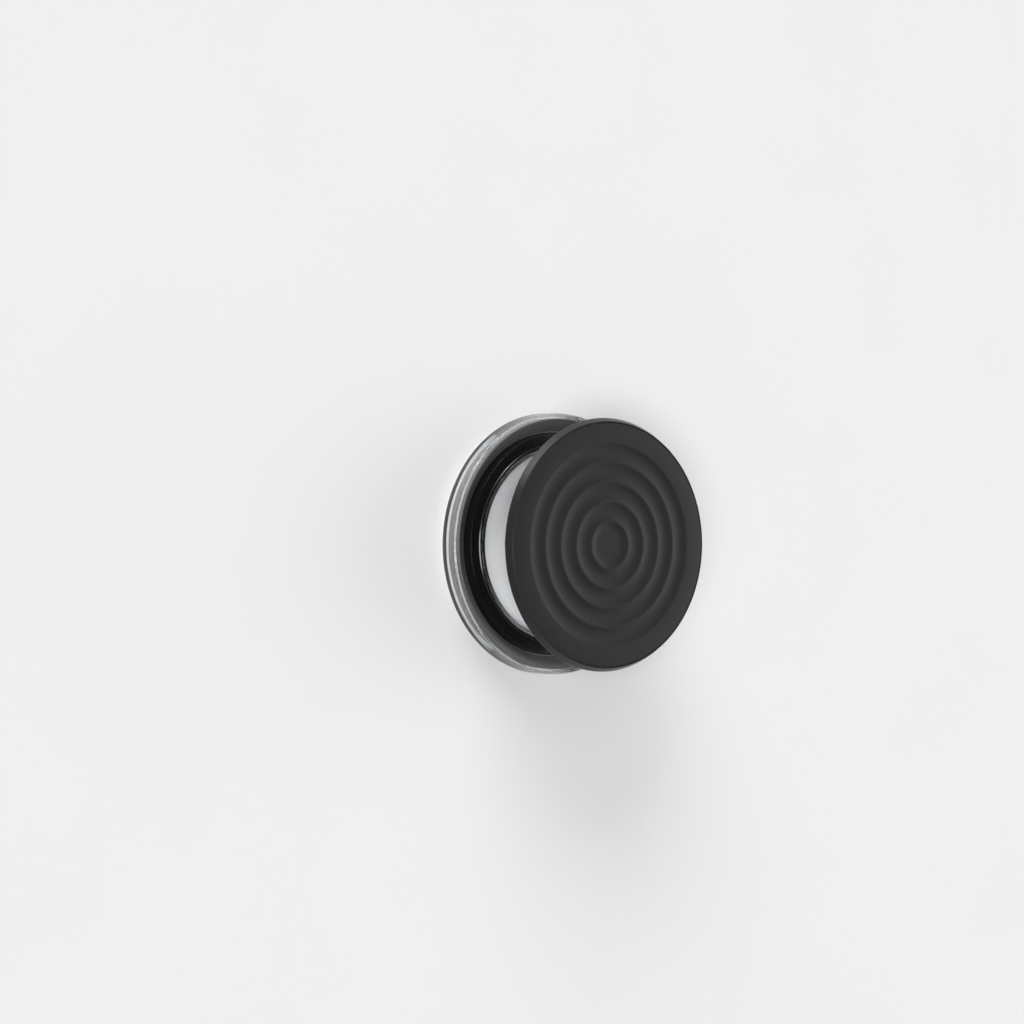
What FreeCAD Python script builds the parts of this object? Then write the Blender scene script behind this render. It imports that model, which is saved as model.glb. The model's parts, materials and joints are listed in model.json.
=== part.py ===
"""A pop-out grip: a clear magnetic base, a folding accordion and a rippled finger disc.

The origin is the centre of the mounting face and +Z is the way the disc pops out.
The disc is drawn popped out. Lengths are in millimetres and angles in degrees.
"""
import FreeCAD
import Part
import Sketcher
import math
import operator
import os
from collections import namedtuple
from enum import IntEnum
from types import SimpleNamespace

SHEET = "Sizes"

# The driving dimensions. Radii grow outwards from the inner lip.
# Heights grow upwards from the mounting face in the base, and downwards from the popped height in the disc.
SIZES = {
    "popped_height": 22.4,
    # clear base shell
    "floor_thickness": 0.9,
    "lip_radius": 22.5,
    "lip_thickness": 0.95,
    "wall_thickness": 0.6,
    "wall_lean": 0.25,
    "wall_drop": 0.15,
    "socket_thickness": 0.7,
    "edge_round": 0.2,
    "fit_gap": 0.1,
    # arc magnets and the steel ring over them
    "magnet_count": 16,
    "magnet_inset": 0.5,
    "magnet_width": 4.0,
    "magnet_thickness": 0.7,
    "magnet_spacing": 0.4,
    "shunt_thickness": 0.3,
    # gloss collar ring, a channel that is open below
    "collar_width": 3.2,
    "collar_rise": 2.4,
    "collar_lean": 0.4,
    "collar_wall": 0.75,
    "collar_roof": 0.9,
    "bead_width": 0.6,
    "bead_rise": 0.2,
    # dished seat ring
    "seat_width": 3.0,
    "seat_gap": 0.5,
    "seat_edge": 0.3,
    "seat_rise": 2.25,
    "seat_rim": 0.3,
    # accordion and the ring that holds its foot
    "foot_radius": 12.6,
    "foot_thickness": 0.8,
    "retainer_width": 0.6,
    "retainer_thickness": 0.4,
    "fold_count": 4,
    "fold_angle": 28,
    "fold_wall": 0.55,
    "fold_round": 0.7,
    "fold_gap": 0.4,
    "cap_thickness": 0.8,
    "cap_border": 1.5,
    "stem_radius": 3.0,
    # rigid disc
    "core_thickness": 0.8,
    "nest_gap": 0.5,
    "rim_gap": 0.4,
    "rim_wall": 0.4,
    "rim_fillet": 0.5,
    "side_height": 1.6,
    "side_lean": 0.74,
    "edge_land": 0.2,
    # soft rippled pad
    "pad_thickness": 1.0,
    "pad_lip": 0.3,
    "pad_gap": 0.08,
    "pad_round": 0.1,
    "border_width": 4.37,
    "ripple_count": 5,
    "ripple_first": 5.35,
    "ripple_slope": 17,
    "ripple_sink": 0.05,
    "crest_width": 0.8,
    "centre_flat": 3.3,
}

DEGREES_IN_A_TURN = 360


class Bend(IntEnum):
    """The side that an arc of an outline bends to, seen along the outline."""

    LEFT = 1
    RIGHT = -1


class Axis(IntEnum):
    """The sketcher's numbers for its own axes."""

    ACROSS = -1
    UP = -2


class End(IntEnum):
    """The sketcher's numbers for the two ends of a segment."""

    START = 1
    FINISH = 2


OPERATIONS = {"+": operator.add, "-": operator.sub, "*": operator.mul, "/": operator.truediv}


class Size:
    """A number together with the sheet expression that works it out."""

    def __init__(self, value, text):
        self.value = value
        self.text = text

    def __add__(self, other):
        return combined(self, "+", other)

    def __radd__(self, other):
        return combined(other, "+", self)

    def __sub__(self, other):
        return combined(self, "-", other)

    def __rsub__(self, other):
        return combined(other, "-", self)

    def __mul__(self, other):
        return combined(self, "*", other)

    def __rmul__(self, other):
        return combined(other, "*", self)

    def __truediv__(self, other):
        return combined(self, "/", other)

    def __rtruediv__(self, other):
        return combined(other, "/", self)


def as_size(number):
    return number if isinstance(number, Size) else Size(number, str(number))


def combined(left, sign, right):
    left = as_size(left)
    right = as_size(right)
    return Size(OPERATIONS[sign](left.value, right.value), f"({left.text} {sign} {right.text})")


def sine(angle):
    return Size(math.sin(math.radians(angle.value)), f"sin({angle.text})")


def cosine(angle):
    return Size(math.cos(math.radians(angle.value)), f"cos({angle.text})")


def tangent(angle):
    return Size(math.tan(math.radians(angle.value)), f"tan({angle.text})")


# One corner of an outline, with the bend of the segment that leaves it: none where that is straight.
Corner = namedtuple("Corner", "x z radius side", defaults=(None, None))


def add_sheet(doc):
    """Write the driving dimensions to the sheet and give each back as a Size."""
    sheet = doc.addObject("Spreadsheet::Sheet", SHEET)
    for row, (alias, number) in enumerate(SIZES.items(), start=1):
        sheet.set(f"A{row}", alias)
        sheet.set(f"B{row}", str(number))
        sheet.setAlias(f"B{row}", alias)
    doc.recompute()
    return SimpleNamespace(**{alias: Size(sheet.get(alias), f"{SHEET}.{alias}") for alias in SIZES})


def add_levels(s):
    """Work out the heights and radii that more than one piece shares."""
    s.shunt_base = s.floor_thickness + s.magnet_thickness
    s.shunt_top = s.shunt_base + s.shunt_thickness
    s.magnet_inner = s.lip_radius + s.magnet_inset
    s.magnet_outer = s.magnet_inner + s.magnet_width
    s.collar_top = s.shunt_top + s.collar_rise
    s.base_top = s.collar_top + s.bead_rise
    s.collar_inner = s.lip_radius + s.fit_gap
    s.collar_outer = s.collar_inner + s.collar_width
    s.seat_inner = s.collar_outer + s.fit_gap
    s.seat_outer = s.seat_inner + s.seat_width
    s.seat_low = s.shunt_top + s.seat_edge
    s.seat_top = s.seat_low + s.seat_rise
    s.seat_steepness = s.seat_rise / (s.seat_width - s.seat_rim)
    s.foot_top = s.floor_thickness + s.foot_thickness
    s.retainer_top = s.foot_top + s.retainer_thickness
    s.disc_top = s.popped_height
    s.pad_floor = s.disc_top - s.pad_thickness
    s.ceiling = s.pad_floor - s.core_thickness
    s.disc_radius = s.seat_outer - s.nest_gap
    s.recess_radius = s.disc_radius - s.side_lean - s.pad_lip


def bent(start, finish, radius, side):
    """The arc from start to finish, and the numbers of its ends in that order."""
    chord = finish - start
    across = FreeCAD.Vector(-chord.y, chord.x, 0).normalize()
    reach = math.sqrt(radius**2 - (chord.Length / 2) ** 2)
    centre = (start + finish) / 2 + across * (reach * side)
    first, last = (start, finish) if side == Bend.LEFT else (finish, start)
    turn_from = math.atan2(first.y - centre.y, first.x - centre.x)
    turn_to = math.atan2(last.y - centre.y, last.x - centre.x)
    circle = Part.Circle(centre, FreeCAD.Vector(0, 0, 1), radius)
    ends = (End.START, End.FINISH) if side == Bend.LEFT else (End.FINISH, End.START)
    return Part.ArcOfCircle(circle, turn_from, turn_to), ends


def draw(sketch, outline):
    """Draw a closed outline and tie every corner and radius to the sheet."""
    corners = [Corner(as_size(c.x), as_size(c.z), c.radius, c.side) for c in outline]
    places = [FreeCAD.Vector(c.x.value, c.z.value, 0) for c in corners]
    ends = []
    for index, corner in enumerate(corners):
        start = places[index]
        finish = places[(index + 1) % len(places)]
        if corner.radius is None:
            segment = Part.LineSegment(start, finish)
            ends.append((End.START, End.FINISH))
        else:
            segment, arc_ends = bent(start, finish, corner.radius.value, corner.side)
            ends.append(arc_ends)
        sketch.addGeometry(segment, False)

    rules = []
    bindings = []

    def bind(rule, size):
        bindings.append((len(rules), size.text))
        rules.append(rule)

    for index, corner in enumerate(corners):
        begin = ends[index][0]
        before = (index - 1) % len(corners)
        rules.append(Sketcher.Constraint("Coincident", before, ends[before][1], index, begin))
        if corner.x.value == 0:
            rules.append(Sketcher.Constraint("PointOnObject", index, begin, Axis.UP))
        else:
            rule = Sketcher.Constraint("DistanceX", Axis.ACROSS, End.START, index, begin, corner.x.value)
            bind(rule, corner.x)
        if corner.z.value == 0:
            rules.append(Sketcher.Constraint("PointOnObject", index, begin, Axis.ACROSS))
        else:
            rule = Sketcher.Constraint("DistanceY", Axis.ACROSS, End.START, index, begin, corner.z.value)
            bind(rule, corner.z)
        if corner.radius is not None:
            bind(Sketcher.Constraint("Radius", index, corner.radius.value), corner.radius)
    sketch.addConstraint(rules)
    for number, text in bindings:
        sketch.setExpression(f"Constraints[{number}]", text)


def turned(doc, label, outline, sweep=None):
    """A body made by turning an outline of the XZ plane about the Z axis, all round or through a sweep."""
    body = doc.addObject("PartDesign::Body", label)
    body.Label = label
    plane = next(item for item in body.Origin.OriginFeatures if item.Role == "XZ_Plane")
    sketch = body.newObject("Sketcher::SketchObject", f"{label}_outline")
    sketch.AttachmentSupport = [(plane, "")]
    sketch.MapMode = "FlatFace"
    draw(sketch, outline)
    turn = body.newObject("PartDesign::Revolution", f"{label}_turn")
    turn.Profile = sketch
    turn.ReferenceAxis = (sketch, ["V_Axis"])
    if sweep is None:
        turn.Angle = DEGREES_IN_A_TURN
    else:
        turn.Midplane = True
        turn.setExpression("Angle", sweep.text)
    return body


def base_shell(doc, s):
    """The clear dish: floor, outer wall, inner lip round the window and the socket for the foot."""
    inside = s.seat_outer + s.seat_gap
    top_outside = inside + s.wall_thickness
    outside = top_outside + s.wall_lean
    wall_top = s.seat_top - s.wall_drop
    lip_inside = s.lip_radius - s.lip_thickness
    socket_inside = s.foot_radius + s.fit_gap
    socket_outside = socket_inside + s.socket_thickness
    edge = s.edge_round
    return turned(doc, "base_shell", [
        Corner(0, 0),
        Corner(outside - edge, 0, edge, Bend.LEFT),
        Corner(outside, edge),
        Corner(top_outside, wall_top - edge, edge, Bend.LEFT),
        Corner(top_outside - edge, wall_top),
        Corner(inside, wall_top),
        Corner(inside, s.floor_thickness),
        Corner(s.lip_radius, s.floor_thickness),
        Corner(s.lip_radius, s.base_top),
        Corner(lip_inside + edge, s.base_top, edge, Bend.LEFT),
        Corner(lip_inside, s.base_top - edge),
        Corner(lip_inside, s.floor_thickness),
        Corner(socket_outside, s.floor_thickness),
        Corner(socket_outside, s.retainer_top),
        Corner(socket_inside, s.retainer_top),
        Corner(socket_inside, s.floor_thickness),
        Corner(0, s.floor_thickness),
    ])


def magnets(doc, s):
    """A ring of equal arc magnets that lie on the floor, with a small space between neighbours."""
    pitch = DEGREES_IN_A_TURN / s.magnet_count
    mid_circle = math.pi * (s.magnet_inner + s.magnet_outer)
    sweep = pitch - DEGREES_IN_A_TURN * s.magnet_spacing / mid_circle
    outline = [
        Corner(s.magnet_inner, s.floor_thickness),
        Corner(s.magnet_outer, s.floor_thickness),
        Corner(s.magnet_outer, s.shunt_base),
        Corner(s.magnet_inner, s.shunt_base),
    ]
    bodies = []
    for number in range(round(s.magnet_count.value)):
        body = turned(doc, f"magnet_{number + 1:02d}", outline, sweep)
        body.Placement.Rotation = FreeCAD.Rotation(FreeCAD.Vector(0, 0, 1), number * pitch.value)
        body.setExpression("Placement.Rotation.Angle", (number * pitch).text)
        bodies.append(body)
    return bodies


def shunt_ring(doc, s):
    """The thin steel ring that lies on the magnets."""
    return turned(doc, "shunt_ring", [
        Corner(s.magnet_inner, s.shunt_base),
        Corner(s.magnet_outer, s.shunt_base),
        Corner(s.magnet_outer, s.shunt_top),
        Corner(s.magnet_inner, s.shunt_top),
    ])


def collar_ring(doc, s):
    """The gloss ring beside the lip: a channel that stands on the steel ring, with a bead inside."""
    top_outer = s.collar_outer - s.collar_lean
    hollow_inner = s.collar_inner + s.collar_wall
    hollow_outer = top_outer - s.collar_wall
    hollow_top = s.collar_top - s.collar_roof
    bead_outer = s.collar_inner + s.bead_width
    edge = s.edge_round
    return turned(doc, "collar_ring", [
        Corner(s.collar_inner, s.shunt_top),
        Corner(hollow_inner, s.shunt_top),
        Corner(hollow_inner, hollow_top),
        Corner(hollow_outer, hollow_top),
        Corner(hollow_outer, s.shunt_top),
        Corner(s.collar_outer, s.shunt_top),
        Corner(s.collar_outer, s.seat_low),
        Corner(top_outer, s.collar_top - edge, edge, Bend.LEFT),
        Corner(top_outer - edge, s.collar_top),
        Corner(bead_outer, s.collar_top),
        Corner(bead_outer - s.bead_rise, s.base_top),
        Corner(s.collar_inner, s.base_top),
    ])


def seat_ring(doc, s):
    """The dished ring: its foot stands on the floor round the magnets, and its slope falls to the collar."""
    foot_inner = s.magnet_outer + s.fit_gap
    edge = s.edge_round
    return turned(doc, "seat_ring", [
        Corner(foot_inner, s.floor_thickness),
        Corner(s.seat_outer, s.floor_thickness),
        Corner(s.seat_outer, s.seat_top - edge, edge, Bend.LEFT),
        Corner(s.seat_outer - edge, s.seat_top),
        Corner(s.seat_outer - s.seat_rim, s.seat_top),
        Corner(s.seat_inner, s.seat_low),
        Corner(s.seat_inner, s.shunt_top),
        Corner(foot_inner, s.shunt_top),
    ])


def foot_retainer(doc, s):
    """The ring that lies on the accordion's foot, inside the socket."""
    return turned(doc, "foot_retainer", [
        Corner(s.foot_radius - s.retainer_width, s.foot_top),
        Corner(s.foot_radius, s.foot_top),
        Corner(s.foot_radius, s.retainer_top),
        Corner(s.foot_radius - s.retainer_width, s.retainer_top),
    ])


def accordion(doc, s):
    """The one-piece bellows: foot flange, folds of one wall thickness and a cap with a short stem.

    Both walls of a fold rise at the fold angle. The outside is rounded at each ridge, and the inside
    runs parallel to it, one wall thickness away.
    """
    cap_base = s.ceiling - s.cap_thickness
    stem_top = s.pad_floor - s.fit_gap
    half_fold = (cap_base - s.foot_top) / (2 * s.fold_count)
    round_centre = s.foot_radius - s.retainer_width - s.fold_gap - s.fold_round
    round_aside = round_centre + s.fold_round * sine(s.fold_angle)
    round_rise = s.fold_round * cosine(s.fold_angle)
    ridge = round_centre + s.fold_round / sine(s.fold_angle)
    groove = ridge - half_fold / tangent(s.fold_angle)
    wall_across = s.fold_wall / sine(s.fold_angle)
    bore = groove - wall_across
    cap_radius = groove + s.cap_border
    outside = []
    inside = []
    for fold in range(round(s.fold_count.value)):
        ridge_level = s.foot_top + (2 * fold + 1) * half_fold
        groove_level = ridge_level + half_fold
        outside.append(Corner(round_aside, ridge_level - round_rise, s.fold_round, Bend.LEFT))
        outside.append(Corner(round_aside, ridge_level + round_rise))
        outside.append(Corner(groove, groove_level))
        inside.append(Corner(bore, ridge_level - half_fold))
        inside.append(Corner(ridge - wall_across, ridge_level))
    return turned(doc, "accordion", [
        Corner(bore, s.floor_thickness),
        Corner(s.foot_radius, s.floor_thickness),
        Corner(s.foot_radius, s.foot_top),
        Corner(groove, s.foot_top),
        *outside,
        Corner(cap_radius, cap_base),
        Corner(cap_radius, s.ceiling),
        Corner(s.stem_radius, s.ceiling),
        Corner(s.stem_radius, stem_top),
        Corner(0, stem_top),
        Corner(0, cap_base),
        Corner(bore, cap_base),
        *reversed(inside),
    ])


def disc_core(doc, s):
    """The rigid disc: a plate with a rim that nests over the seat, and a recess for the pad."""
    hole = s.stem_radius + s.fit_gap
    rim_inner = s.collar_outer + s.rim_gap
    rim_outer = rim_inner + s.rim_wall
    edge_low = s.disc_top - s.side_height
    rim_base = edge_low - (s.disc_radius - rim_outer) * s.seat_steepness
    return turned(doc, "disc_core", [
        Corner(hole, s.ceiling),
        Corner(rim_inner - s.rim_fillet, s.ceiling, s.rim_fillet, Bend.RIGHT),
        Corner(rim_inner, s.ceiling - s.rim_fillet),
        Corner(rim_inner, rim_base),
        Corner(rim_outer, rim_base),
        Corner(s.disc_radius, edge_low),
        Corner(s.disc_radius, edge_low + s.edge_land),
        Corner(s.disc_radius - s.side_lean, s.disc_top),
        Corner(s.recess_radius, s.disc_top),
        Corner(s.recess_radius, s.pad_floor),
        Corner(hole, s.pad_floor),
    ])


def ripple_pad(doc, s):
    """The soft face: a flat border, narrow crests and wide troughs of tangent arcs, and a flat centre."""
    radius = s.recess_radius - s.pad_gap
    last_crest = radius - s.border_width
    pitch = (last_crest - s.ripple_first) / (s.ripple_count - 1)
    half_crest = s.crest_width / 2
    crest_drop = half_crest * tangent(s.ripple_slope / 2)
    crest_bend = half_crest / sine(s.ripple_slope)
    trough_bend = (pitch - s.crest_width) / 2 / sine(s.ripple_slope)
    dish_width = s.ripple_first - half_crest - s.centre_flat
    dish_bend = dish_width / sine(s.ripple_slope)
    outline = [
        Corner(0, s.pad_floor),
        Corner(radius, s.pad_floor),
        Corner(radius, s.disc_top - s.pad_round, s.pad_round, Bend.LEFT),
        Corner(radius - s.pad_round, s.disc_top),
        Corner(last_crest, s.disc_top, crest_bend, Bend.LEFT),
        Corner(last_crest - half_crest, s.disc_top - crest_drop, trough_bend, Bend.RIGHT),
    ]
    for crest in reversed(range(round(s.ripple_count.value) - 1)):
        middle = s.ripple_first + crest * pitch
        foot = s.disc_top - crest_drop - (s.ripple_count - 1 - crest) * s.ripple_sink
        outline.append(Corner(middle + half_crest, foot, crest_bend, Bend.LEFT))
        outline.append(Corner(middle - half_crest, foot, trough_bend if crest else dish_bend, Bend.RIGHT))
    centre_level = foot - dish_width * tangent(s.ripple_slope / 2)
    outline.append(Corner(s.centre_flat, centre_level))
    outline.append(Corner(0, centre_level))
    return turned(doc, "ripple_pad", outline)


def check(doc, bodies):
    """Stop if any feature failed or any piece isn't one valid solid."""
    failed = [item.Name for item in doc.Objects if {"Invalid", "Error"} & set(item.State)]
    if failed:
        raise RuntimeError(f"failed features: {failed}")
    for body in bodies:
        shape = body.Shape
        if shape.isNull() or not shape.isValid() or len(shape.Solids) != 1:
            raise RuntimeError(f"{body.Label} is not one valid solid")


def main():
    doc = FreeCAD.newDocument("pop_grip")
    s = add_sheet(doc)
    add_levels(s)
    bodies = [
        base_shell(doc, s),
        *magnets(doc, s),
        shunt_ring(doc, s),
        collar_ring(doc, s),
        seat_ring(doc, s),
        foot_retainer(doc, s),
        accordion(doc, s),
        disc_core(doc, s),
        ripple_pad(doc, s),
    ]
    doc.recompute()
    check(doc, bodies)
    os.makedirs("parts", exist_ok=True)
    for body in bodies:
        body.Shape.exportStep(f"parts/{body.Label}.step")
        box = body.Shape.optimalBoundingBox()
        print(f"{body.Label}: {body.Shape.Volume:.1f} mm3, z {box.ZMin:.2f} to {box.ZMax:.2f}")


main()
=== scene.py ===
# %% [markdown]
# # A pop-out finger grip
#
# The grip lies flat and holds itself in place with magnets. A rippled disc stands on a folding accordion,
# so that two fingers fit between the disc and the base. The solid model is the frame. Each piece below
# takes its reach and its levels from there, and adds the soft edges, the true folds and the finishes.

import json
import math

import bmesh
import bpy
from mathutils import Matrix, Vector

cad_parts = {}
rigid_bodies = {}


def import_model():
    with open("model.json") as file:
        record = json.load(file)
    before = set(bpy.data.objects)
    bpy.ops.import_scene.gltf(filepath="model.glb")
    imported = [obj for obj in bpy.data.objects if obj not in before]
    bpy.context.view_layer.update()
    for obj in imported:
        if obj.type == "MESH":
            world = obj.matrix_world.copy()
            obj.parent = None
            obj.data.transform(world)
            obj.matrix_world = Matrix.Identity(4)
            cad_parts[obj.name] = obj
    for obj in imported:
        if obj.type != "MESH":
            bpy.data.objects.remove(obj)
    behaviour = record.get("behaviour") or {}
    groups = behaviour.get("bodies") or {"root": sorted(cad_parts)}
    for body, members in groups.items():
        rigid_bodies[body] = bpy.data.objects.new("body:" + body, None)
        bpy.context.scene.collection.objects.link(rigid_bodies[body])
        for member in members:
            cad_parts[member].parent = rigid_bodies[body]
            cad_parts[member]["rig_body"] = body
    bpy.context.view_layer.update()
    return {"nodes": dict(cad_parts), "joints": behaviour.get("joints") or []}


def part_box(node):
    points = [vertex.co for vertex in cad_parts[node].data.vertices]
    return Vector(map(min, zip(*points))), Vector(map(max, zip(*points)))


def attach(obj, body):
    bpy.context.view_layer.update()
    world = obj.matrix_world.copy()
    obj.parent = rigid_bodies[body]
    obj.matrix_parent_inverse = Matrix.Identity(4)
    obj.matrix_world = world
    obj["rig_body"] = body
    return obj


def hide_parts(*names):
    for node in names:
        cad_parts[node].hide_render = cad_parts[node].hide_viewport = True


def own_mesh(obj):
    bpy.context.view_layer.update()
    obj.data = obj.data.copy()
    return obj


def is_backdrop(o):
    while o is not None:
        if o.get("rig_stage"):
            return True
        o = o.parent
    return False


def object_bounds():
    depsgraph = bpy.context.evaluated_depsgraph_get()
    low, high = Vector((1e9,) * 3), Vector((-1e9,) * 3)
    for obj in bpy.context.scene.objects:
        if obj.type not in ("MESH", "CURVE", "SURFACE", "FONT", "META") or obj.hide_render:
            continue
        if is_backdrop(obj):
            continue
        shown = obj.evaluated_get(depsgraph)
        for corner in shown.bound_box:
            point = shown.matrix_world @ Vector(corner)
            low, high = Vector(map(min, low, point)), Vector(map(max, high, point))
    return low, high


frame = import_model()
MM = 0.001

# %% [markdown]
# ## Where the sizes come from
#
# The solid model has the true sizes already. They could be typed in again, but a change there would then
# leave the pieces here behind. So each round node gives its outer radius, its lowest level and its highest
# level. Only the sizes inside a piece, which no box shows, are written down here, in millimetres.


# %% Measure a round node
def reach_of(node):
    """The outer radius, the lowest level and the highest level of a round node, in millimetres."""
    low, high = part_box(node)
    return high.x / MM, low.z / MM, high.z / MM


SHELL_RADIUS, SHELL_BASE, SHELL_TOP = reach_of("base_shell")

print(f"base: radius {SHELL_RADIUS:.2f} mm, from {SHELL_BASE:.2f} to {SHELL_TOP:.2f} mm")

# %% [markdown]
# ## Drawing half a section
#
# Nearly every piece of the grip is round, as if it came off a lathe. Stacked cylinders could not give such
# sections. So half of each section is drawn once and turned about the middle axis. The drawing starts with
# a plane that is merged to a single vertex. A straight run extrudes the last vertex, and a round run spins
# it about the centre of the bend. The outline remembers which way it is heading, so a bend always leaves
# smoothly from the run before it.

# %% Outline
BEND_STEPS = 8


class Outline:
    """Half of a piece's section, drawn in the XZ plane in millimetres."""

    def __init__(self, name, radius, level):
        bpy.ops.object.select_all(action="DESELECT")
        bpy.ops.mesh.primitive_plane_add(size=MM, location=(0, 0, 0))
        self.piece = bpy.context.object
        self.piece.name = name
        self.piece.data.name = name
        bpy.ops.object.mode_set(mode="EDIT")
        bpy.ops.mesh.merge(type="CENTER")
        bpy.ops.transform.translate(value=(radius * MM, 0, level * MM))
        self.tip = (radius, level)
        self.heading = 0

    def run_to(self, radius, level):
        """Draw a straight run from the last vertex."""
        across = radius - self.tip[0]
        up = level - self.tip[1]
        bpy.ops.mesh.extrude_region_move(TRANSFORM_OT_translate={"value": (across * MM, 0, up * MM)})
        self.tip = (radius, level)
        self.heading = math.atan2(up, across)

    def run_through(self, *corners):
        """Draw straight runs through these corners in order."""
        for corner in corners:
            self.run_to(*corner)

    def bend(self, radius, degrees, steps=BEND_STEPS):
        """Draw a round run that goes on from the heading. Positive degrees bend to the left."""
        side = self.heading + math.copysign(math.pi / 2, degrees)
        centre = (self.tip[0] + radius * math.cos(side), self.tip[1] + radius * math.sin(side))
        angle = math.radians(degrees)
        bpy.ops.mesh.spin(
            steps=steps, angle=angle, center=(centre[0] * MM, 0, centre[1] * MM), axis=(0, 1, 0)
        )
        arm = side + math.pi + angle
        self.tip = (centre[0] + radius * math.cos(arm), centre[1] + radius * math.sin(arm))
        self.heading += angle


# %% [markdown]
# ## Rounding its corners
#
# A moulded edge is never quite sharp, and its small round catches the light. A Bevel modifier on the
# finished piece would round every edge alike. Here the corners of the drawing are rounded before it is
# turned, so each edge gets its own size. The vertices to round are selected by their place.

# %% Choose, soften and close
WELD = 0.002
ROUND_STEPS = 4


def choose(piece, wanted):
    """Select only the vertices that are wanted."""
    mesh = bmesh.from_edit_mesh(piece.data)
    for vertex in mesh.verts:
        vertex.select = wanted(vertex)
    mesh.select_flush_mode()
    bmesh.update_edit_mesh(piece.data)


def soften(piece, corners, size):
    """Round the corners of the drawing that lie at these places."""

    def lies_at_corner(vertex):
        across, up = vertex.co.x / MM, vertex.co.z / MM
        return any(math.hypot(across - radius, up - level) < WELD for radius, level in corners)

    choose(piece, lies_at_corner)
    bpy.ops.mesh.bevel(affect="VERTICES", offset_type="OFFSET", offset=size * MM, segments=ROUND_STEPS)


def close(piece):
    """Join the two open ends of the drawing."""
    choose(piece, lambda vertex: len(vertex.link_edges) == 1)
    bpy.ops.mesh.edge_face_add()


# %% [markdown]
# ## Turning it into a piece
#
# The drawing is spun about the Z axis in small steps. A Screw modifier could turn it too, but the spin
# leaves plain faces at once, on which the seam and the pole are welded and the normals turned outwards. On
# a piece from straight runs, weighted normals then let the large faces set the shading, so that its flats
# stay flat beside their round edges.

# %% Turn and seal
TURN_STEPS = 192
SMOOTH_BELOW = math.radians(32)


def seal(piece):
    """Weld what meets, face the surface outwards and shade it smooth, except across sharp edges."""
    bpy.ops.mesh.select_all(action="SELECT")
    bpy.ops.mesh.remove_doubles(threshold=WELD * MM)
    bpy.ops.mesh.dissolve_degenerate(threshold=WELD * MM)
    bpy.ops.mesh.select_all(action="SELECT")
    bpy.ops.mesh.normals_make_consistent(inside=False)
    bpy.ops.object.mode_set(mode="OBJECT")
    bpy.ops.object.shade_smooth_by_angle(angle=SMOOTH_BELOW)
    print(f"{piece.name}: {len(piece.data.polygons)} faces")


def turn(piece, steps=TURN_STEPS):
    """Spin the drawing about the Z axis and seal the piece that it leaves."""
    bpy.ops.mesh.select_all(action="SELECT")
    bpy.ops.mesh.spin(steps=steps, angle=math.tau, center=(0, 0, 0), axis=(0, 0, 1))
    seal(piece)


# %% A piece from straight runs
def even_shade(piece):
    """Let the large faces set the shading."""
    bpy.ops.object.modifier_add(type="WEIGHTED_NORMAL")
    piece.modifiers[-1].keep_sharp = True
    bpy.ops.object.modifier_apply(modifier=piece.modifiers[-1].name)


def turned(name, corners, rounds):
    """Turn the piece with these corners in order. Each round is a size with the corners that it softens."""
    outline = Outline(name, *corners[0])
    outline.run_through(*corners[1:])
    if corners[0][0] > 0:
        close(outline.piece)
    for size, places in rounds:
        soften(outline.piece, places, size)
    turn(outline.piece)
    even_shade(outline.piece)
    return outline.piece


# %% [markdown]
# ## Clear base shell
#
# The shell is one clear moulding: a flat floor, a thin wall that leans in by a hair so that it leaves the
# mould, a raised lip round the window in the middle, and a low socket for the accordion's foot. Rings
# joined to a plate would look alike in an opaque plastic, but a clear one shows the faces hidden where they
# meet. So the whole section is one outline. Its outer edges get a small round, which shows as a thin bright
# line.

# %% Shell sizes
FOOT_RADIUS, FLOOR, STEM_TOP = reach_of("accordion")
RETAINER_RADIUS, FOOT_TOP, RETAINER_TOP = reach_of("foot_retainer")
WALL = 0.6
WALL_LEAN = 0.25
WALL_DROP = 0.2
LIP_OUTSIDE = 22.5
LIP_INSIDE = 21.55
SOCKET_WALL = 0.7
FIT = 0.1

wall_top = SHELL_TOP - WALL_DROP
wall_outside = SHELL_RADIUS - WALL_LEAN
wall_inside = wall_outside - WALL
socket_inside = FOOT_RADIUS + FIT
socket_outside = socket_inside + SOCKET_WALL

print(f"wall inside at {wall_inside:.2f} mm, lip inside at {LIP_INSIDE} mm, socket at {socket_inside:.2f} mm")

# %% Shell
WALL_ROUND = 0.2
SOCKET_ROUND = 0.1

wall_edges = [(SHELL_RADIUS, SHELL_BASE), (wall_outside, wall_top), (wall_inside, wall_top)]
lip_edges = [(LIP_OUTSIDE, SHELL_TOP), (LIP_INSIDE, SHELL_TOP)]
socket_edges = [(socket_outside, RETAINER_TOP), (socket_inside, RETAINER_TOP)]
shell = turned(
    "clear_shell",
    corners=[
        (0, SHELL_BASE),
        *wall_edges,
        (wall_inside, FLOOR),
        (LIP_OUTSIDE, FLOOR),
        *lip_edges,
        (LIP_INSIDE, FLOOR),
        (socket_outside, FLOOR),
        *socket_edges,
        (socket_inside, FLOOR),
        (0, FLOOR),
    ],
    rounds=[(WALL_ROUND, wall_edges + lip_edges), (SOCKET_ROUND, socket_edges)],
)

# %% [markdown]
# ## Seat ring
#
# A dark grey ring stands inside the clear wall. Its slope is the seat on which the disc's rim settles when
# the grip is closed. A cut-off cone would give the slope alone. The outline gives the flat rim, the slope
# and the step over the steel ring in one go. The ring is drawn a hair above the clear floor, because two
# faces in the same place would flicker.

# %% Seat ring
HAIR = 0.03
SEAT_RIM = 0.3
SEAT_RISE = 2.25
SEAT_WIDTH = 3.0
SEAT_ROUND = 0.12
SEAT_RADIUS, SEAT_BASE, SEAT_TOP = reach_of("seat_ring")
SHUNT_RADIUS, SHUNT_BASE, SHUNT_TOP = reach_of("shunt_ring")

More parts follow.
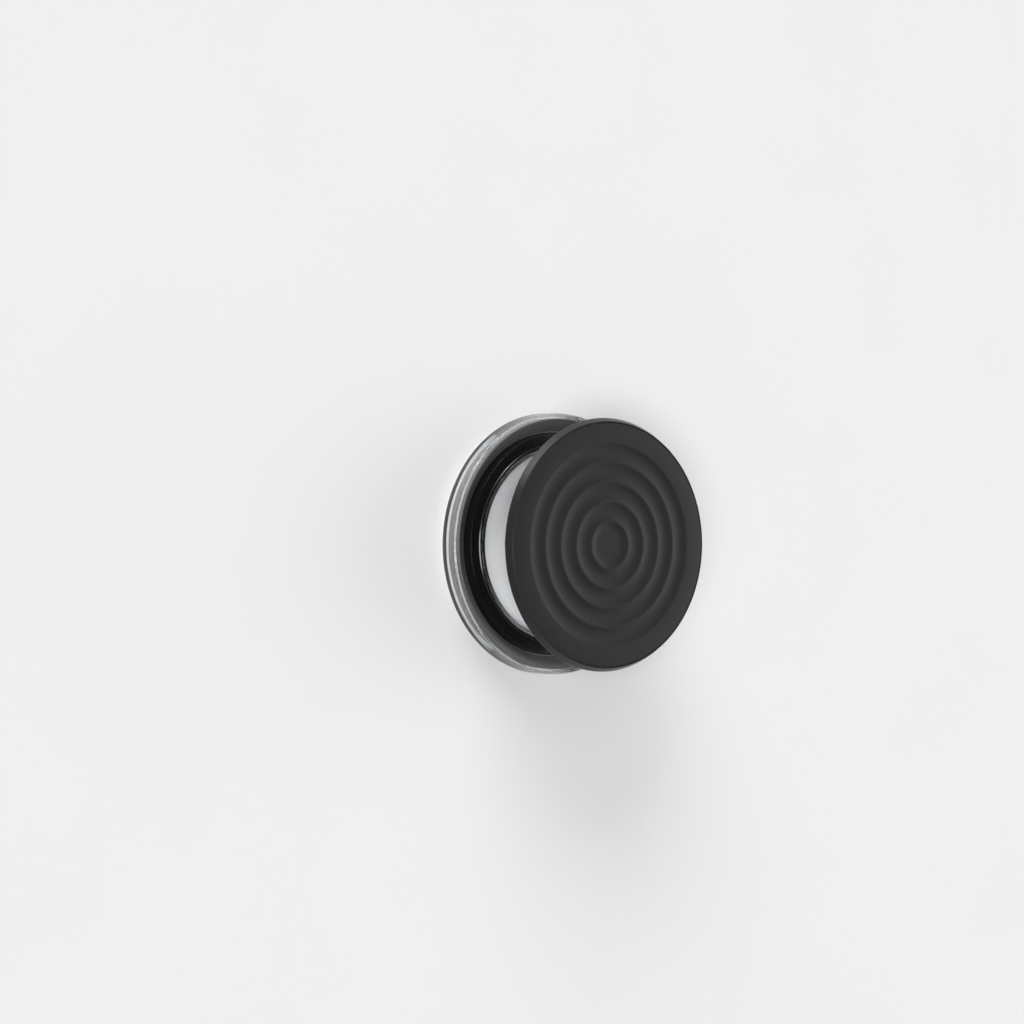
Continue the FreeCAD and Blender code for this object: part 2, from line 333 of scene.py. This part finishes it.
seat_inside = SEAT_RADIUS - SEAT_WIDTH
seat_low = SEAT_TOP - SEAT_RISE
seat_foot = SHUNT_RADIUS + FIT
seat_edges = [(SEAT_RADIUS, SEAT_TOP), (SEAT_RADIUS - SEAT_RIM, SEAT_TOP), (seat_inside, seat_low)]
seat = turned(
    "seat_ring_moulded",
    corners=[
        (seat_foot, SEAT_BASE + HAIR),
        (SEAT_RADIUS, SEAT_BASE + HAIR),
        *seat_edges,
        (seat_inside, SHUNT_TOP),
        (seat_foot, SHUNT_TOP),
    ],
    rounds=[(SEAT_ROUND, seat_edges)],
)

# %% [markdown]
# ## Collar ring
#
# Between the seat and the lip lies a gloss black ring, with a small bead along its inner edge. A solid ring
# would look the same from above. The real one is a channel that stands on the steel ring, open below,
# because thick plastic sinks as it cools. So the outline goes round the hollow too.

# %% Collar sizes
COLLAR_WALL = 0.75
COLLAR_ROOF = 0.9
COLLAR_LEAN = 0.4
BEAD_WIDTH = 0.6
BEAD_RISE = 0.2
COLLAR_RADIUS, COLLAR_BASE, COLLAR_TOP = reach_of("collar_ring")

collar_inside = LIP_OUTSIDE + FIT
collar_level = COLLAR_TOP - BEAD_RISE
collar_shoulder = COLLAR_RADIUS - COLLAR_LEAN
hollow_inside = collar_inside + COLLAR_WALL
hollow_outside = collar_shoulder - COLLAR_WALL
hollow_top = collar_level - COLLAR_ROOF

print(f"collar: {COLLAR_RADIUS - collar_inside:.2f} mm wide, hollow {hollow_outside - hollow_inside:.2f} mm")

# %% Collar ring
COLLAR_ROUND = 0.03

collar_edges = [(collar_shoulder, collar_level), (collar_inside + BEAD_WIDTH, collar_level)]
bead_edges = [(collar_inside + BEAD_WIDTH - BEAD_RISE, COLLAR_TOP), (collar_inside, COLLAR_TOP)]
collar = turned(
    "collar_ring_gloss",
    corners=[
        (collar_inside, COLLAR_BASE + HAIR),
        (hollow_inside, COLLAR_BASE + HAIR),
        (hollow_inside, hollow_top),
        (hollow_outside, hollow_top),
        (hollow_outside, COLLAR_BASE + HAIR),
        (COLLAR_RADIUS, COLLAR_BASE + HAIR),
        (COLLAR_RADIUS, seat_low),
        *collar_edges,
        *bead_edges,
    ],
    rounds=[(COLLAR_ROUND, collar_edges + bead_edges)],
)

# %% [markdown]
# ## Steel ring and magnets
#
# Under the two dark rings a ring of sixteen arc magnets lies on the clear floor, and a thin steel ring lies
# on top to lead their field downwards. They show from below, through the clear floor. One magnet is
# modelled: a rectangle is swept through its arc, and its edges are broken as on a plated magnet. An Array
# modifier could repeat it, but each magnet stands for a node of its own, so it is copied round, each copy
# with its own mesh.

# %% Steel ring
MAGNET_INSIDE = 23.0
SHUNT_ROUND = 0.05

shunt_edges = [
    (MAGNET_INSIDE, SHUNT_BASE + HAIR),
    (SHUNT_RADIUS, SHUNT_BASE + HAIR),
    (SHUNT_RADIUS, SHUNT_TOP),
    (MAGNET_INSIDE, SHUNT_TOP),
]
shunt = turned("shunt_ring_steel", corners=shunt_edges, rounds=[(SHUNT_ROUND, shunt_edges)])

# %% Sweep of one magnet
MAGNET_COUNT = sum(node.startswith("magnet_") for node in frame["nodes"])
MAGNET_SPACING = 0.4
MAGNET_STEPS = 16

pitch = 360 / MAGNET_COUNT
middle_radius = (MAGNET_INSIDE + SHUNT_RADIUS) / 2
sweep = math.radians(pitch) - MAGNET_SPACING / middle_radius

outline = Outline("magnet_plated_01", MAGNET_INSIDE, FLOOR + HAIR)
outline.run_through((SHUNT_RADIUS, FLOOR + HAIR), (SHUNT_RADIUS, SHUNT_BASE), (MAGNET_INSIDE, SHUNT_BASE))
first_magnet = outline.piece
bpy.ops.mesh.select_all(action="SELECT")
bpy.ops.mesh.edge_face_add()
bpy.ops.mesh.spin(steps=MAGNET_STEPS, angle=sweep, center=(0, 0, 0), axis=(0, 0, 1))

print(f"magnet: an arc of {math.degrees(sweep):.1f} degrees")

# %% Edges of one magnet
MAGNET_EDGE = 0.08
MAGNET_EDGE_STEPS = 2
SHARP_ABOVE = math.radians(60)

bpy.ops.mesh.select_all(action="SELECT")
bpy.ops.mesh.remove_doubles(threshold=WELD * MM)
bpy.ops.mesh.normals_make_consistent(inside=False)
bpy.ops.mesh.select_all(action="DESELECT")
bpy.ops.mesh.edges_select_sharp(sharpness=SHARP_ABOVE)
bpy.ops.mesh.bevel(offset=MAGNET_EDGE * MM, segments=MAGNET_EDGE_STEPS)
seal(first_magnet)
even_shade(first_magnet)


# %% Copy the magnet round
def pick(piece):
    """Select this piece alone and make it the active one."""
    bpy.ops.object.select_all(action="DESELECT")
    piece.select_set(True)
    bpy.context.view_layer.objects.active = piece


def turn_about_axis(piece, degrees):
    """Turn a finished piece about the Z axis and put the turn into its mesh."""
    pick(piece)
    piece.rotation_euler.z = math.radians(degrees)
    bpy.ops.object.transform_apply(location=False, rotation=True, scale=False)


turn_about_axis(first_magnet, -math.degrees(sweep) / 2)
magnets = [first_magnet]
for number in range(1, MAGNET_COUNT):
    pick(first_magnet)
    bpy.ops.object.duplicate()
    copy = bpy.context.object
    copy.name = f"magnet_plated_{number + 1:02d}"
    copy.data.name = copy.name
    turn_about_axis(copy, number * pitch)
    magnets.append(copy)

print(f"magnets: {len(magnets)}, one every {pitch:.1f} degrees")


# %% Compare the magnets with their nodes
def corner_gap(magnet, node):
    """How far the highest corner of a magnet's box lies from that of its node, in millimetres."""
    _, solid_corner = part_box(node)
    places = [vertex.co for vertex in magnet.data.vertices]
    return max(abs(max(place[axis] for place in places) - solid_corner[axis]) / MM for axis in range(3))


magnet_nodes = [f"magnet_{number:02d}" for number in range(1, MAGNET_COUNT + 1)]
widest_gap = max(corner_gap(magnet, node) for magnet, node in zip(magnets, magnet_nodes))

print(f"magnets: at most {widest_gap:.2f} mm off their nodes")

# %% [markdown]
# ## Foot retainer
#
# A plain ring holds the accordion's foot down in its socket. A cylinder with a hole cut through it would
# do, but a cut leaves ragged faces, and its edges would have to be found again. The outline of four corners
# gives the ring and its rounds at once.

# %% Foot retainer
RETAINER_WIDTH = 0.6
RETAINER_ROUND = 0.06

retainer_edges = [
    (RETAINER_RADIUS - RETAINER_WIDTH, FOOT_TOP + HAIR),
    (RETAINER_RADIUS, FOOT_TOP + HAIR),
    (RETAINER_RADIUS, RETAINER_TOP),
    (RETAINER_RADIUS - RETAINER_WIDTH, RETAINER_TOP),
]
retainer = turned("foot_retainer_ring", corners=retainer_edges, rounds=[(RETAINER_ROUND, retainer_edges)])

# %% [markdown]
# ## Accordion
#
# The accordion is one rubber moulding: a flange at its foot, folds of one wall thickness and a cap that is
# bonded to the disc. The outer ridges have a wide bend and the grooves a tight one, and on the inside it is
# the other way round, because both walls turn about the same centres. Stacked cones would leave sharp
# folds, where rubber tears. So the outline runs down the outside and up the inside again, with a bend at
# each fold.

# %% Accordion sizes
FOLD_COUNT = 4
FOLD_ANGLE = 28
FOLD_WALL = 0.55
RIDGE_INSET = 1.0
WIDE_BEND = 0.7
TIGHT_BEND = WIDE_BEND - FOLD_WALL
CORE_PLATE = 0.8
CAP = 0.8
PAD_RADIUS, PAD_FLOOR, PAD_TOP = reach_of("ripple_pad")

slope = math.radians(FOLD_ANGLE)
ceiling = PAD_FLOOR - CORE_PLATE
cap_base = ceiling - CAP
half_fold = (cap_base - FOOT_TOP) / (2 * FOLD_COUNT)
ridge_centre = FOOT_RADIUS - RIDGE_INSET - WIDE_BEND
ridge_point = ridge_centre + WIDE_BEND / math.sin(slope)
groove_point = ridge_point - half_fold / math.tan(slope)
groove_centre = groove_point + TIGHT_BEND / math.sin(slope)
bore = groove_point - FOLD_WALL / math.sin(slope)

print(f"accordion: ridges at {ridge_centre + WIDE_BEND:.2f}, grooves at {groove_centre - TIGHT_BEND:.2f} mm")

# %% Zigzag of the folds
FOLD_TURN = 180 - 2 * FOLD_ANGLE
UPWARDS, DOWNWARDS = 1, -1
OUTWARDS, INWARDS = 1, -1


def zigzag(outline, halves, ridge_bend, groove_bend, way):
    """Draw the folds of one wall, upwards or downwards. Odd halves end in a ridge, even ones in a groove."""
    for half in halves:
        level = FOOT_TOP + half * half_fold
        if half % 2:
            centre, size, side = ridge_centre, ridge_bend, OUTWARDS
        else:
            centre, size, side = groove_centre, groove_bend, INWARDS
        outline.run_to(centre + side * size * math.sin(slope), level - way * size * math.cos(slope))
        outline.bend(size, way * side * FOLD_TURN)


print(f"each fold turns by {FOLD_TURN} degrees and is {2 * half_fold:.2f} mm high")

# %% Accordion walls
STEM_RADIUS = 3.0
CAP_BORDER = 1.5
CAP_ROUND = 0.15
ACCORDION_STEPS = 128

halves = range(1, 2 * FOLD_COUNT)
cap_radius = groove_point + CAP_BORDER
cap_edge = (cap_radius, cap_base)
foot_edge = (FOOT_RADIUS, FOOT_TOP)

outline = Outline("accordion_rubber", 0, STEM_TOP)
outline.run_through((STEM_RADIUS, STEM_TOP), (STEM_RADIUS, ceiling - HAIR), (cap_radius, ceiling - HAIR))
outline.run_through(cap_edge, (groove_point, cap_base))
zigzag(outline, reversed(halves), WIDE_BEND, TIGHT_BEND, DOWNWARDS)
outline.run_through((groove_point, FOOT_TOP), foot_edge, (FOOT_RADIUS, FLOOR + HAIR), (bore, FLOOR + HAIR))
outline.run_to(bore, FOOT_TOP)
zigzag(outline, halves, TIGHT_BEND, WIDE_BEND, UPWARDS)
outline.run_through((bore, cap_base), (0, cap_base))
accordion = outline.piece
soften(accordion, [cap_edge, foot_edge], CAP_ROUND)
turn(accordion, ACCORDION_STEPS)

# %% [markdown]
# ## Disc core
#
# The rigid disc is widest just above its lower edge, and its side leans in towards the face. Below, a thin
# rim reaches down: when the grip is closed, the rim's cone settles over the seat. A shallow recess on top
# takes the pad. A cylinder could be inset and extruded to this shape, one level after the other. The
# outline gives all the levels together, and each kind of edge gets its own round.

# %% Disc core sizes
DISC_RADIUS, RIM_BASE, DISC_TOP = reach_of("disc_core")
SIDE_HEIGHT = 1.6
SIDE_LEAN = 0.74
EDGE_LAND = 0.2
PAD_LIP = 0.3
RIM_INSIDE = 26.2
RIM_WALL = 0.4
STEM_FIT = 0.1

edge_low = DISC_TOP - SIDE_HEIGHT
face_radius = DISC_RADIUS - SIDE_LEAN
recess_radius = face_radius - PAD_LIP
hole = STEM_RADIUS + STEM_FIT

print(f"disc: radius {DISC_RADIUS:.2f} mm at its edge and {face_radius:.2f} mm at its face")

# %% Disc core
UNDER_ROUND = 0.5
RIM_ROUND = 0.1
WIDE_ROUND = 0.06
FACE_ROUND = 0.04

under_corner = (RIM_INSIDE, ceiling)
rim_edges = [(RIM_INSIDE, RIM_BASE), (RIM_INSIDE + RIM_WALL, RIM_BASE)]
wide_edges = [(DISC_RADIUS, edge_low), (DISC_RADIUS, edge_low + EDGE_LAND)]
face_edges = [(face_radius, DISC_TOP), (recess_radius, DISC_TOP)]
core = turned(
    "disc_core_moulded",
    corners=[
        (hole, ceiling),
        under_corner,
        *rim_edges,
        *wide_edges,
        *face_edges,
        (recess_radius, PAD_FLOOR),
        (hole, PAD_FLOOR),
    ],
    rounds=[
        (UNDER_ROUND, [under_corner]),
        (RIM_ROUND, rim_edges),
        (WIDE_ROUND, wide_edges),
        (FACE_ROUND, face_edges),
    ],
)

# %% [markdown]
# ## Rippled pad
#
# The finger pad is soft silicone with rings like those of a drop in water: narrow crests and wide troughs,
# each ring a little lower than the one outside it, then a flat middle. A displacement texture would give
# such rings too, but only roughly. Here the section is a chain of bends that alternate left and right, so
# the surface has no kink.

# %% Ripple sizes
BORDER = 4.37
RIPPLE_COUNT = 5
RIPPLE_FIRST = 5.35
RIPPLE_SLOPE = 17
RIPPLE_SINK = 0.05
CREST_WIDTH = 0.8

last_crest = PAD_RADIUS - BORDER
ripple_pitch = (last_crest - RIPPLE_FIRST) / (RIPPLE_COUNT - 1)
crest_bend = CREST_WIDTH / 2 / math.sin(math.radians(RIPPLE_SLOPE))
trough_bend = (ripple_pitch - CREST_WIDTH) / 2 / math.sin(math.radians(RIPPLE_SLOPE))
fall = math.degrees(math.atan2(RIPPLE_SINK, ripple_pitch))

print(f"ripples: {RIPPLE_COUNT} crests, one every {ripple_pitch:.2f} mm")

# %% Rippled pad
PAD_ROUND = 0.1
CREST_STEPS = 8
TROUGH_STEPS = 16

outline = Outline("ripple_pad_silicone", 0, PAD_FLOOR + HAIR)
outline.run_through((PAD_RADIUS, PAD_FLOOR + HAIR), (PAD_RADIUS, PAD_TOP - PAD_ROUND))
outline.bend(PAD_ROUND, 90, ROUND_STEPS)
outline.run_to(last_crest, PAD_TOP)
outline.bend(crest_bend, RIPPLE_SLOPE + fall, CREST_STEPS)
for _ in range(RIPPLE_COUNT - 1):
    outline.bend(trough_bend, -2 * RIPPLE_SLOPE, TROUGH_STEPS)
    outline.bend(crest_bend, 2 * RIPPLE_SLOPE, CREST_STEPS)
outline.bend(trough_bend, -RIPPLE_SLOPE - fall, TROUGH_STEPS)
outline.run_to(0, outline.tip[1])
pad = outline.piece
turn(pad)

print(f"pad: its middle lies {PAD_TOP - outline.tip[1]:.2f} mm below the border")

# %% [markdown]
# ## Which body each piece moves with
#
# The disc and its pad slide together, and the rest stays with the base. On the real grip the folds of the
# accordion close up one by one. To show that, each ridge would need a bone of its own. An even squeeze
# would end at the right height too. Here the accordion, which belongs to the base, only gets a mesh of its
# own, and the script works out how much of its height it would keep as the disc goes down.

# %% Bodies
stands_for = {
    shell: "base_shell",
    seat: "seat_ring",
    collar: "collar_ring",
    shunt: "shunt_ring",
    retainer: "foot_retainer",
    accordion: "accordion",
    core: "disc_core",
    pad: "ripple_pad",
    **dict(zip(magnets, magnet_nodes)),
}
for piece, node in stands_for.items():
    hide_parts(node)
    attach(piece, frame["nodes"][node]["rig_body"])

print(f"{len(stands_for)} pieces stand for {len(frame['nodes'])} nodes")

# %% Height the accordion would keep
travel = -min(joint["range_m"][0] for joint in frame["joints"]) / MM
stretch = ceiling - FLOOR
(stretch - travel) / stretch
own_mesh(accordion)

print(f"travel {travel:.1f} mm, accordion keeps {(stretch - travel) / stretch:.3f} of its height")

# %% [markdown]
# ## Shader maths
#
# A finish is a small network of nodes. It could be wired node by node, but sums are easier to read. So two
# helpers do the wiring. A Shade stands for one socket, and arithmetic on it adds the Math nodes. A Finish
# is one material, and its node method adds any other node: first its settings, then the values or links of
# its sockets. All patterns use Object coordinates, in metres.


# %% Shade
class Shade:
    """One output socket of a finish, on which plain arithmetic adds Math nodes."""

    def __init__(self, finish, socket):
        self.finish = finish
        self.socket = socket

    def math(self, operation, left, right):
        return self.finish.node("ShaderNodeMath", {"operation": operation}, {0: left, 1: right})

    def __add__(self, other):
        return self.math("ADD", self, other)

    def __radd__(self, other):
        return self.math("ADD", other, self)

    def __mul__(self, other):
        return self.math("MULTIPLY", self, other)

    def __rmul__(self, other):
        return self.math("MULTIPLY", other, self)

    def __lt__(self, other):
        return self.math("LESS_THAN", self, other)

    def __gt__(self, other):
        return self.math("GREATER_THAN", self, other)


# %% Finish
class Finish:
    """A material with one shader, whose constants are set on the shader's own sockets."""

    def __init__(self, name, **constants):
        self.material = bpy.data.materials.new(name)
        self.material.use_nodes = True
        self.tree = self.material.node_tree
        self.shader = self.tree.nodes["Principled BSDF"]
        self.place = self.node("ShaderNodeTexCoord", output="Object")
        for socket, value in constants.items():
            self.set(socket.replace("_", " "), value)

    def node(self, kind, settings=None, sockets=None, output=0):
        """Add a node: its settings first, then the values or links of its sockets."""
        node = self.tree.nodes.new(kind)
        for setting, value in (settings or {}).items():
            setattr(node, setting, value)
        for socket, value in (sockets or {}).items():
            self.join(node.inputs[socket], value)
        return Shade(self, node.outputs[output])

    def join(self, socket, value):
        """Link a shade to a socket, or set a plain value on it."""
        if isinstance(value, Shade):
            self.tree.links.new(value.socket, socket)
        else:
            socket.default_value = value

    def set(self, socket, value):
        """Link or set one of the shader's own sockets."""
        self.join(self.shader.inputs[socket], value)


# %% [markdown]
# ## Uneven surfaces
#
# No moulded or plated surface is quite even. Its colour and gloss drift a little, and the mould leaves a
# fine grain. A picture could be wrapped round each piece, but it would need a seam. Noise in Object
# coordinates has none. Grain as fine as this would take millions of faces as geometry, so a bump gives it.


# %% Patterns that several finishes share
def cloud(finish, spots):
    """Soft noise from 0 to 1, with spots of about this size in millimetres."""
    return finish.node("ShaderNodeTexNoise", None, {"Vector": finish.place, "Scale": 1 / (spots * MM)})


def drift(finish, least, spread, spots):
    """A value that drifts from the least one upwards, by this spread."""
    return least + spread * cloud(finish, spots)


def mottle(finish, first, second, spots):
    """A colour that drifts between two colours."""
    sockets = {"Factor": cloud(finish, spots), "A": first, "B": second}
    return finish.node("ShaderNodeMix", {"data_type": "RGBA"}, sockets, output="Result")


def grain(finish, spots, depth):
    """A surface raised by fine noise, of this depth in millimetres."""
    return finish.node("ShaderNodeBump", None, {"Distance": depth * MM, "Height": cloud(finish, spots)})


# %% Grey and paint
def grey(level):
    """A neutral colour."""
    return (level, level, level, 1.0)


def paint(finish, slot, *pieces):
    """Give these pieces their finish and print the slot that they belong to."""
    for piece in pieces:
        piece.data.materials.clear()
        piece.data.materials.append(finish.material)
    print(f"{finish.material.name}, slot {slot}, on {pieces[0].name}, pieces: {len(pieces)}")


# %% [markdown]
# ## Clear plastic
#
# The shell is a clear rigid plastic such as polycarbonate. It bends light and shows the studio as thin
# bright lines along its rounded edges. A trace of grey takes a little light for each millimetre, so the
# tall wall looks greyer than the thin window. A tint on the surface alone would darken both alike. The
# mounting face has a fine matt texture, because smooth clear plastic clings to glass in wet-looking spots.
# The rest is polished, and as a fingered part it is never even.

# %% Clear surface
MATT_BELOW = 0.05
FROST = 0.3
CLEAR_DARKER = (0.94, 0.945, 0.95, 1.0)
CLEAR_LIGHTER = (0.96, 0.963, 0.966, 1.0)

clear = Finish("clear plastic", IOR=1.49, Transmission_Weight=1.0)
height = clear.node("ShaderNodeSeparateXYZ", None, {"Vector": clear.place}, output="Z")
underside = height < MATT_BELOW * MM
clear.set("Base Color", mottle(clear, CLEAR_DARKER, CLEAR_LIGHTER, spots=12.0))
clear.set("Roughness", drift(clear, least=0.01, spread=0.03, spots=6.0) + FROST * underside)
paint(clear, "clear_shell", shell)

# %% [markdown]
# ## Light through the shell
#
# A real window lets the lamps light the floor under it. A ray tracer finds it hard to send lamp light
# through bent glass, and the floor there would turn black. More samples would only help slowly. So rays on
# their way to a lamp meet a plain thin film instead of the glass, and the floor stays lit.

# %% Film and smoke
FILM = (0.97, 0.972, 0.974, 1.0)
SMOKE = (0.4, 0.42, 0.44, 1.0)
SMOKE_DENSITY = 200.0

lamp_ray = clear.node("ShaderNodeLightPath", output="Is Shadow Ray")
film = clear.node("ShaderNodeBsdfTransparent", None, {"Color": FILM})
glass = Shade(clear, clear.shader.outputs["BSDF"])
seen = clear.node("ShaderNodeMixShader", None, {0: lamp_ray, 1: glass, 2: film})
smoke = clear.node("ShaderNodeVolumeAbsorption", None, {"Color": SMOKE, "Density": SMOKE_DENSITY})
output = clear.tree.nodes["Material Output"]
clear.join(output.inputs["Surface"], seen)
clear.join(output.inputs["Volume"], smoke)

print(f"{clear.material.name}: {len(clear.tree.nodes)} nodes")

# %% [markdown]
# ## Dark plastics
#
# Four dark mouldings look alike until light falls on them. The seat is satin and a little lighter. The
# collar is polished and nearly black. The disc's core is semi-gloss, and the retainer is matt. One black
# for all four would be simpler, but the edges between them would be lost. So they differ in base colour and
# in roughness, and the seat and the core have a fine moulded grain.

# %% Seat finish
satin = Finish("satin grey plastic")
satin.set("Base Color", mottle(satin, grey(0.11), grey(0.13), spots=3.0))
satin.set("Roughness", drift(satin, least=0.34, spread=0.08, spots=1.5))
satin.set("Normal", grain(satin, spots=0.12, depth=0.004))
paint(satin, "seat_plastic", seat)

# %% Collar finish
gloss = Finish("gloss black plastic", Coat_Roughness=0.05)
gloss.set("Base Color", mottle(gloss, grey(0.005), grey(0.008), spots=4.0))
gloss.set("Roughness", drift(gloss, least=0.18, spread=0.08, spots=2.0))
gloss.set("Coat Weight", drift(gloss, least=0.2, spread=0.2, spots=3.0))
paint(gloss, "collar_gloss", collar)

# %% Disc core finish
sheen = Finish("semi-gloss charcoal plastic", Specular_IOR_Level=0.4)
sheen.set("Base Color", mottle(sheen, grey(0.007), grey(0.01), spots=3.0))
sheen.set("Roughness", drift(sheen, least=0.28, spread=0.08, spots=1.2))
sheen.set("Normal", grain(sheen, spots=0.15, depth=0.003))
paint(sheen, "core_plastic", core)

# %% Retainer finish
matt = Finish("matt black plastic")
matt.set("Base Color", mottle(matt, grey(0.012), grey(0.018), spots=2.0))
matt.set("Roughness", drift(matt, least=0.5, spread=0.15, spots=0.6))
paint(matt, "retainer_plastic", retainer)

# %% [markdown]
# ## Metals
#
# The magnets are plated with bright nickel, a little warm, and the steel ring above them is plain zinc grey
# with the faint clouding of rolled sheet. A grey paint with a strong highlight could pass for either from
# one side. A metallic shader colours the reflections themselves, as metal does, and holds from all sides.

# %% Magnet finish
NICKEL_DARKER = (0.62, 0.59, 0.54, 1.0)
NICKEL_LIGHTER = (0.7, 0.67, 0.62, 1.0)

nickel = Finish("nickel plate", Metallic=1.0)
nickel.set("Base Color", mottle(nickel, NICKEL_DARKER, NICKEL_LIGHTER, spots=1.5))
nickel.set("Roughness", drift(nickel, least=0.16, spread=0.14, spots=0.8))
paint(nickel, "magnet_plate", *magnets)

# %% Steel finish
steel = Finish("rolled steel", Metallic=1.0)
steel.set("Base Color", mottle(steel, grey(0.45), grey(0.55), spots=2.0))
steel.set("Roughness", drift(steel, least=0.32, spread=0.16, spots=0.5))
paint(steel, "shunt_steel", shunt)

# %% [markdown]
# ## Rubber and silicone
#
# The accordion and the pad are soft and dark, with a very fine grain from their moulds. A sheen layer could
# soften them too, but it lightens the edges as on velvet. A high roughness alone gives the matt skin, so
# the pad's ripples show by broad, soft shading and not by sharp highlights.

# %% Accordion finish
rubber = Finish("moulded rubber")
rubber.set("Base Color", mottle(rubber, grey(0.014), grey(0.02), spots=2.5))
rubber.set("Roughness", drift(rubber, least=0.5, spread=0.12, spots=0.8))
rubber.set("Normal", grain(rubber, spots=0.1, depth=0.004))
paint(rubber, "accordion_rubber", accordion)

# %% Pad finish
silicone = Finish("soft silicone", Specular_IOR_Level=0.45)
silicone.set("Base Color", mottle(silicone, grey(0.005), grey(0.0075), spots=5.0))
silicone.set("Roughness", drift(silicone, least=0.48, spread=0.08, spots=1.0))
silicone.set("Normal", grain(silicone, spots=0.08, depth=0.003))
paint(silicone, "pad_silicone", pad)

# %% [markdown]
# ## Floor
#
# The grip stands on a sheet of pale paper. Without a floor it would hang in the air, and a floor with its
# own highlights would draw the eye. So the paper is matt all through, without a surface reflection. It is
# so wide that its far edge lies close to the horizon, even for a low camera.

# %% Floor
FLOOR_GAP = 0.15
FLOOR_SIDE = 16.0

bpy.ops.object.select_all(action="DESELECT")
bpy.ops.mesh.primitive_plane_add(size=FLOOR_SIDE, location=(0, 0, -FLOOR_GAP * MM))
floor = bpy.context.object
floor.name = "floor"
paper = Finish("pale paper", Roughness=0.9, Specular_IOR_Level=0.0)
paper.set("Base Color", mottle(paper, grey(0.84), grey(0.86), spots=40.0))
floor.data.materials.append(paper.material)
floor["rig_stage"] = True

print(f"floor: {FLOOR_SIDE:.0f} m wide, {FLOOR_GAP} mm below the grip")

# %% [markdown]
# ## Light
#
# A soft lamp high on the camera's side gives most of the light. One low on the right lightens the slopes of
# the ripples that face it, and one low beyond the picture's top runs along the disc's edge. The sky fills
# the rest. Area lamps near the grip would leave bright pools on the floor. These shine in parallel, as from
# far away, so the floor is evenly lit in every view, and they are weak enough for it to stay short of
# white.


# %% Lamps
def far_lamp(name, direction, width, strength):
    """Soft parallel light from this direction, as of a lamp that looks so many degrees wide."""
    bpy.ops.object.light_add(type="SUN", location=direction)
    lamp = bpy.context.object
    lamp.name = name
    lamp.data.angle = math.radians(width)
    lamp.data.energy = strength
    lamp.rotation_euler = lamp.location.to_track_quat("Z", "Y").to_euler()
    print(f"{name}: {width} degrees wide, strength {strength}")


far_lamp("front lamp", direction=(-1.2, -0.16, 1.52), width=32, strength=1.85)
far_lamp("side lamp", direction=(0.8, 0.0, 0.35), width=52, strength=0.92)
far_lamp("edge lamp", direction=(-0.36, 1.08, 0.216), width=40, strength=3.56)

# %% Sky
SKY = 0.22

world = bpy.data.worlds.new("studio")
bpy.context.scene.world = world
world.use_nodes = True
world.node_tree.nodes["Background"].inputs["Color"].default_value = grey(1.0)
world.node_tree.nodes["Background"].inputs["Strength"].default_value = SKY

print(f"sky: strength {SKY}")

# %% [markdown]
# ## Camera
#
# The camera looks down at the grip from the left, as in the photograph. It could be aimed at the middle of
# the grip by a constraint, but the photograph isn't centred there. So its place, tilt and lens are given as
# they were fitted to the photograph. The Standard view transform keeps the colours about as they are
# written.

# %% Camera
CAMERA_PLACE = (-294.34, 7.33, 372.13)
CAMERA_TILT = 37.32
CAMERA_LENS = 71.87

bpy.ops.object.camera_add(
    location=[length * MM for length in CAMERA_PLACE], rotation=(0, math.radians(-CAMERA_TILT), 0)
)
camera = bpy.context.object
camera.data.lens = CAMERA_LENS
bpy.context.scene.camera = camera
bpy.context.scene.view_settings.view_transform = "Standard"

print(f"camera: {math.hypot(*CAMERA_PLACE):.0f} mm from the grip, lens {CAMERA_LENS} mm")

# %% [markdown]
# ## Size of the dressed part
#
# The dressed part has to stay inside the box of the solid model. That could be looked at from each side,
# but numbers show a hundredth of a millimetre. So the dressed part's box is written out.

# %% Sizes
visual_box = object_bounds()
for name, low, high in zip("xyz", *visual_box):
    print(f"{name}: {low / MM:.2f} to {high / MM:.2f} mm")
